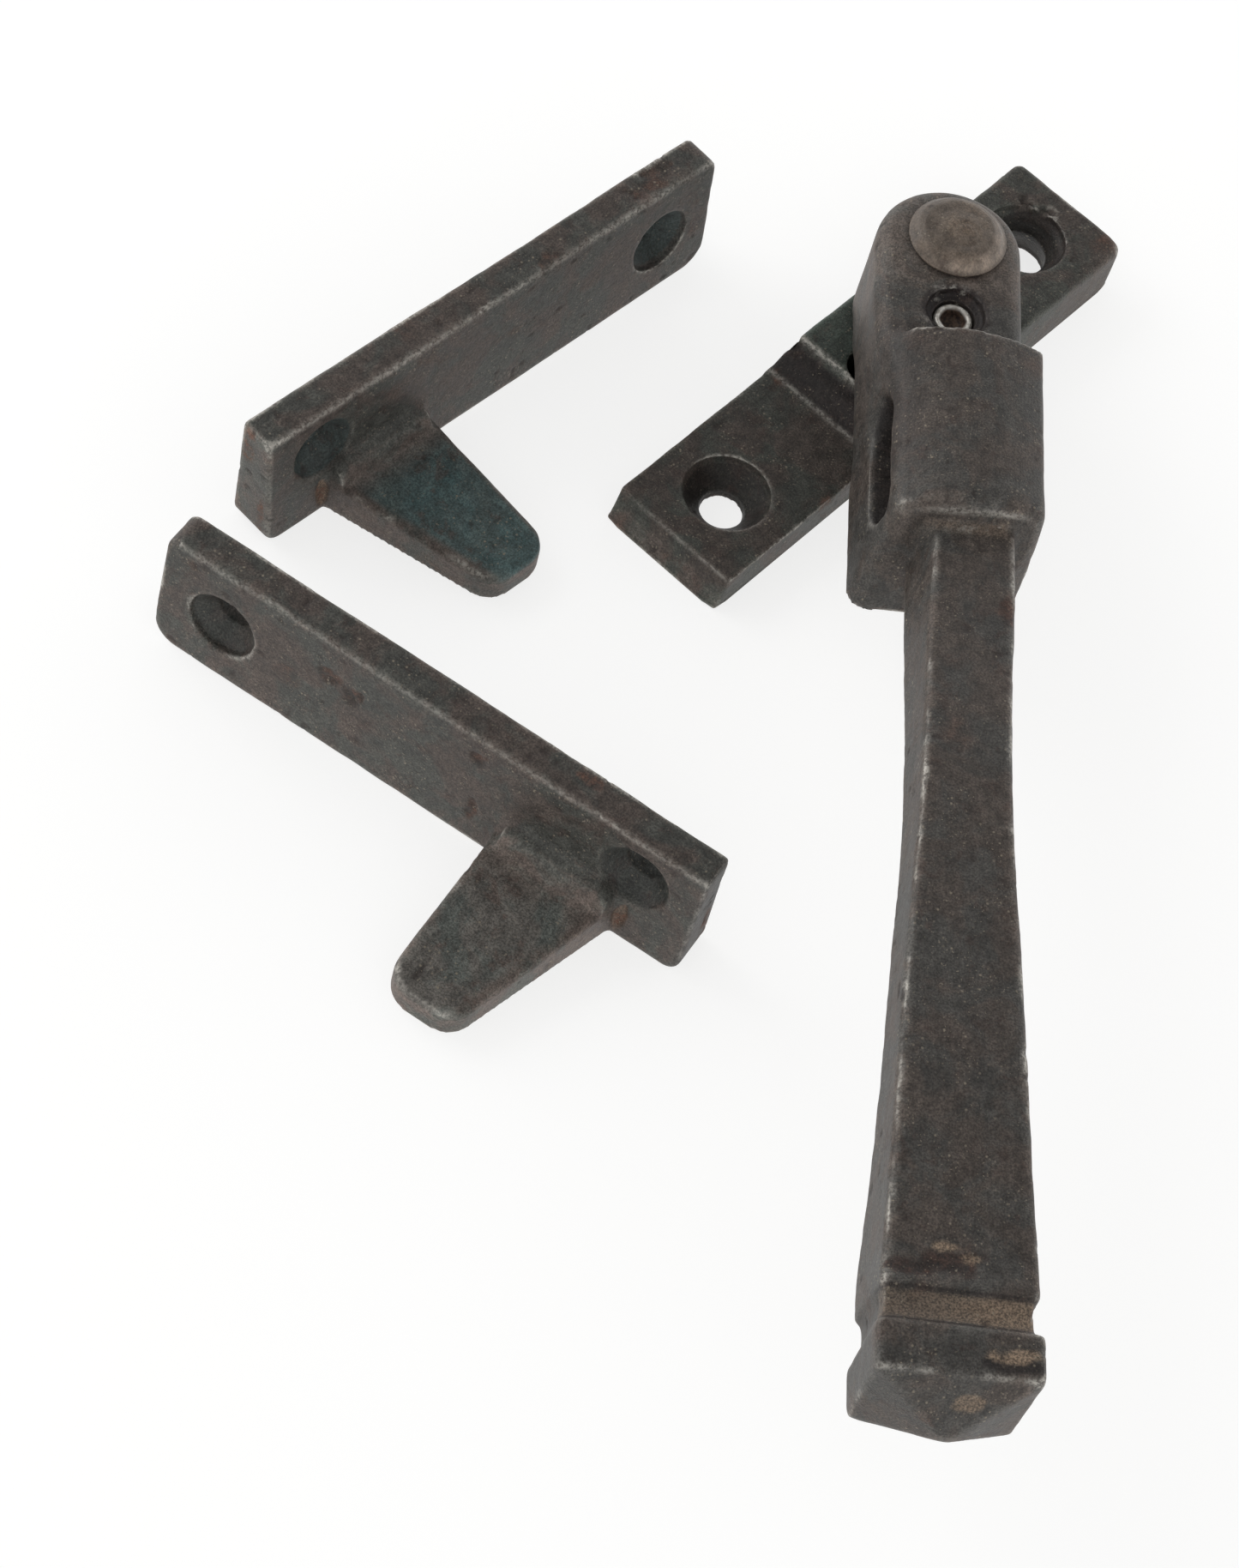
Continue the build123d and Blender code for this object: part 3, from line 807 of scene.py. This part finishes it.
def shape_step(skin):
    """Presses a crease in at the step's upper edge and raises a lip along its foot."""
    y, z = skin.p[:, 1], skin.p[:, 2]
    skin.push(-0.45 * between(y, -17.2, -15.6, -15.0, -14.2) * ramp(z, 4, 5))
    skin.push(0.16 * between(y, -21.0, -19.9, -19.6, -18.6) * ramp(z, 4, 4.8))


def shape_ends(skin):
    """Wears the far right corner and the low leg's corners round, and shapes the far hole."""
    x, y, z = skin.p.T
    out = np.hypot(x, y - FAR_HOLE)
    skin.settle(24, fade(np.hypot(x - PLATE_SIDE, y - 30.3), 1.2, 2.8))
    skin.settle(14, fade(np.hypot(np.abs(x) - PLATE_SIDE, y + 49.0), 0.8, 2.2))
    skin.p = skin.p + fade(out, 5.8, 8.6)[:, None] * np.array(FAR_HOLE_SHIFT)
    wide = (fade(out, 3.0, 6.6) * fade(z, 4.2, 7.0))[:, None]
    deep = fade(z, 0, 4.5)[:, None]
    away = np.stack([x, y - FAR_HOLE, np.zeros(len(x))], axis=1) / np.maximum(out, 1)[:, None]
    skin.p = skin.p + wide * (away * (0.9 + 0.5 * deep) + np.array((-0.2, 0.4, 0)) * (1 + deep))


def plate_lines(p):
    """Bare metal: the bevel's upper edge, two worn corners and the step's two edges."""
    x, y, z = p.T
    bevel = line(y, BEVEL_TOP, 0.3) * ramp(z, 4.2, 4.8) * (0.6 + 0.5 * layered(p, 3, 81, 2))
    corner = np.exp(-(((y + 50.4) ** 2 + (x - 9.2) ** 2) / 1.6)) * ramp(z, 0.5, 3)
    corner += spot(p, (PLATE_SIDE, 29.6, 7.0), 1.1, 83)
    step = 0.5 * line(y, STEP_FOOT, 0.3) + 0.9 * line(y, STEP_TOP, 0.35)
    return 0.7 * bevel + 0.9 * corner + step * ramp(z, 4.2, 4.9)


# ---------------------------------------------------------------- hook plates
HOOK_VOXEL = 0.27
# A hook plate's marks: pits, rust, blue and worn are its own colour; pale and the end entries are painted
# light on the tongue and end face, and painted shade on the left plate's end face.
RIGHT_MARKS = {
    "pits": [((65.2, 2.6, 18.3), (4.0, 2.0, 1.0)), ((46.1, 1.2, 18.3), (2.6, 1.4, 1.0))],
    "rust": [((0, 3.4, 14.6), (0.8, 1.2, 3.4)), ((0, 0.2, 4.0), (0.6, 0.6, 3.0))],
    "blue": 1.0,
    "worn": 0.9,
    "pale": 0.35,
    "end_painted_light": 1.0,
    "end_painted_shade": 0.0,
}
LEFT_MARKS = {
    "pits": [
        ((50.6, -0.4, 12.6), (2.0, 1.2, 1.4)), ((47.6, -0.6, 11.2), (1.6, 1.2, 1.7)),
        ((30.5, -0.2, 15.2), (1.3, 1, 1.3)), ((29.8, -1.0, 5.6), (0.9, 1, 2.4)),
    ],
    "rust": [((0, 3.5, 5.5), (0.8, 1.6, 4.5)), ((18.4, 3.4, 18.3), (1.8, 1.0, 0.8))],
    "blue": 0.25,
    "worn": 0.55,
    "pale": 0.6,
    "end_painted_light": 0.0,
    "end_painted_shade": 0.5,
}


def make_hook(node, name, body, place, side, seed, material, marks):
    """A hook plate: an upright bar with a tongue out of its front."""
    skin = Skin(node, name, hook_frame(place, side), HOOK_VOXEL)
    notch = shape_hook(skin, seed)
    pit = pit_hook(skin, seed, marks["pits"])
    p = skin.p
    x, y, z = p.T
    end = fade(x, 0.3, 0.8)
    inside = in_hook_holes(p)
    rust = 0.6 * pit + 0.55 * ramp(layered(p, 8, seed + 63, 3), 0.7, 1.25) + notch
    rust += 0.9 * sum(spot(p, centre, size, seed + 64) for centre, size in marks["rust"])
    # The end term here is painted shade on the bar's end face.
    dark = 0.25 * inside + 0.5 * pit + marks["end_painted_shade"] * end
    weather(
        skin, seed, rust=rust, tan=marks["worn"] * notch,
        blue=marks["blue"] * np.maximum(on_tongue(p), 0.8 * inside),
        dark=dark * (1 - 0.6 * marks["blue"]),
    )
    bare = skin.marks["bare"] * (1 - 0.6 * fade(x, 1.0, 2.0) * fade(z, 13, 16))
    skin.mark("bare", np.maximum(bare, marks["worn"] * arris_line(p, seed)))
    # Painted light on the bar's end face and on the tongue.
    skin.mark("pale", marks["end_painted_light"] * end + marks["pale"] * ramp(-y, 1, 4))
    # Painted light: the tongue is made lighter through the edge mask.
    skin.add("edge", 0.9 * ramp(-y, 0, 3))
    skin.finish(material, body)


def shape_hook(skin, seed):
    """Fillets the tongue's root, hammers all but the underside, and sinks a notch by the root."""
    skin.settle(1)
    x, y, z = skin.p.T
    root = (x > 5.5) & (x < 30) & (y < 1) & (y > -6)
    skin.fill(25, root * 1.0)
    forge(skin, seed, keep=ramp(skin.p[:, 2], 0, 0.6), warp=0.12, dent=0.05)
    notch = spot(skin.p, (8.5, -1.4, 3.8), (0.9, 1.3, 2.6), seed + 60, 0.2)
    skin.push(-0.35 * notch)
    return notch


def pit_hook(skin, seed, places):
    """Sinks the deep rust pits."""
    p = skin.p
    pit = np.clip(sum(spot(p, centre, size, seed + 61) for centre, size in places), 0, 1)
    skin.push(-0.35 * pit * np.clip(0.6 + 0.6 * layered(p, 1.1, seed + 62, 2), 0, 1.3))
    return pit


def in_hook_holes(p):
    """1 inside the screw holes and their sinks."""
    x, y, z = p.T
    inside = np.zeros(len(p))
    for along, high in HOOK_HOLES:
        inside = np.maximum(inside, (np.hypot(x - along, z - high) < HOOK_SINK) & (y > -0.5))
    return inside


def on_tongue(p):
    """1 on the tongue's upper face, away from its root and its sides."""
    x, y, z = p.T
    near_side = ramp(x - 8.9 - 0.3 * np.abs(y), 0.3, 1.6)
    return ramp(-y, 3, 8) * ramp(z, 3.0, 3.8) * fade(x, 24.6, 25.4) * near_side


def arris_line(p, seed):
    """The rubbed line along the top of a hook plate's front, brightest at its near end."""
    x, y, z = p.T
    shine = 0.6 + 0.35 * layered(p, 5, seed + 70, 3) + 0.6 * fade(x, 1.5, 5)
    return line(z, BAR_TOP, 0.4) * line(y, 0.1, 0.45) * shine


# ---------------------------------------------------------------- rivet, washer, grub screw
RIVET_VOXEL = 0.16
RIVET_SEED = 91
GRUB_STEPS = 72                 # points around the grub screw
GRUB_FLOOR = 21.25
GRUB_RINGS = (                  # radius, height, and how much of the socket's dirt lies there
    (2.05, 12.92, 0), (2.45, 13.3, 0), (2.5, 22.3, 0), (2.42, 22.62, 0), (2.2, 22.84, 0),
    (1.95, 22.88, 0), (1.78, 22.78, 0.3), (1.62, 22.5, 1), (1.55, 22.1, 1), (1.5, 21.6, 1),
    (0.8, 21.35, 1),
)


def make_rivet(material):
    """The pivot rivet, its head dished by the punch and ringed."""
    skin = Skin("pivot_rivet", "rivet_forging", PLATE_FRAME, RIVET_VOXEL)
    skin.settle(2)
    top = shape_rivet(skin)
    p = skin.p
    weather(skin, RIVET_SEED, tan=0.35 * ramp(layered(p, 3.5, 93, 3), -0.3, 0.8) * top)
    # Painted light on the head's right flank, through the edge and pale masks.
    lit_flank = ramp(p[:, 0], 0.5, 3.5) * ramp(np.hypot(p[:, 0], p[:, 1]), 4.0, 5.0) * top
    skin.add("edge", lit_flank)
    skin.mark("pale", 0.7 * lit_flank)
    skin.mark("pits", ramp(layered(p, 1.2, 94, 2), 0.8, 1.2))
    skin.finish(material, "plate")


def shape_rivet(skin):
    """Dishes the head, presses two rings and an off-centre dimple in, and hammers it."""
    x, y, z = skin.p.T
    top = ramp(z, 24.9, 25.4)
    out = np.hypot(x, y)
    skin.p[:, 2] += top * (0.4 * between(out, 2.6, 5.0, 5.0, 6.1) - 0.3 * fade(out, 1.0, 5.0))
    far = np.hypot(x - 1.2, y + 0.4)
    rings = line(far, 1.7, 0.35) + 0.6 * line(out, 4.9, 0.3)
    skin.push(top * (-0.10 * rings - 0.14 * line(far, 0, 0.9)))
    p = skin.p
    skin.push(top * (0.12 * layered(p, 6, 91, 3) - 0.05 * blows(p, 2.4, 92)))
    return top


def grub_points():
    """The screw's rings, from its lower end up and down into the socket, then the socket's middle."""
    points = []
    for radius, z, dirty in GRUB_RINGS:
        for k in range(GRUB_STEPS):
            turn = 2 * pi * k / GRUB_STEPS
            six = cos(pi / 6) / cos((turn % (pi / 3)) - pi / 6)
            r = radius * (1 + dirty * 0.55 * (six - 1))
            points.append((r * cos(turn), -LOCK_RADIUS + r * sin(turn), z))
    points.append((0.0, -LOCK_RADIUS, GRUB_FLOOR))
    return points


def grub_faces():
    """Quads between the rings, one face below and a fan over the socket's floor."""
    faces = []
    for ring in range(len(GRUB_RINGS) - 1):
        for k in range(GRUB_STEPS):
            a = ring * GRUB_STEPS + k
            b = ring * GRUB_STEPS + (k + 1) % GRUB_STEPS
            faces.append((a, b, b + GRUB_STEPS, a + GRUB_STEPS))
    faces.append(tuple(range(GRUB_STEPS - 1, -1, -1)))
    middle = len(GRUB_RINGS) * GRUB_STEPS
    last = middle - GRUB_STEPS
    faces += [(last + k, last + (k + 1) % GRUB_STEPS, middle) for k in range(GRUB_STEPS)]
    return faces


def make_grub_screw():
    """A turned screw, its rim rounded and worn and its six-sided socket half full of dirt."""
    points = grub_points()
    mesh = bpy.data.meshes.new("grub_screw_turned")
    mesh.from_pydata(points, [], grub_faces())
    dirt = np.append(np.repeat([dirty for radius, z, dirty in GRUB_RINGS], GRUB_STEPS), 1.0)
    layer = mesh.attributes.new("socket", "FLOAT", "POINT")
    layer.data.foreach_set("value", dirt.astype(np.float32))
    seat_in_frame(mesh, np.array(points), HANDLE_FRAME)
    mesh.materials.append(socket_steel())
    piece = bpy.data.objects.new("grub_screw_turned", mesh)
    bpy.context.scene.collection.objects.link(piece)
    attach(piece, "grub")
    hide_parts("grub_screw")


def dress(node, material):
    """Gives a CAD node that keeps its shape a better finish."""
    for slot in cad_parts[node].material_slots:
        slot.material = material


def main():
    """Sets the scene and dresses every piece."""
    camera()
    studio()
    plate_iron = iron("dark_iron", rgb(60, 61, 56), rgb(66, 59, 54))
    handle_iron = iron("handle_iron", rgb(64, 62, 59), rgb(70, 63, 58))
    hook_iron = iron("hook_iron", rgb(62, 62, 58), rgb(70, 62, 57))
    rivet_iron = iron("rivet_iron", rgb(88, 79, 71), rgb(94, 84, 75), 0.42, 0.5)
    make_handle(handle_iron)
    make_plate(plate_iron)
    make_hook(
        "hook_plate_right", "right_hook_forging", "hook_right",
        RIGHT_PLACE, 1, 131, hook_iron, RIGHT_MARKS,
    )
    make_hook(
        "hook_plate_left", "left_hook_forging", "hook_left",
        LEFT_PLACE, -1, 171, hook_iron, LEFT_MARKS,
    )
    make_rivet(rivet_iron)
    dress("friction_washer", steel())
    make_grub_screw()


main()
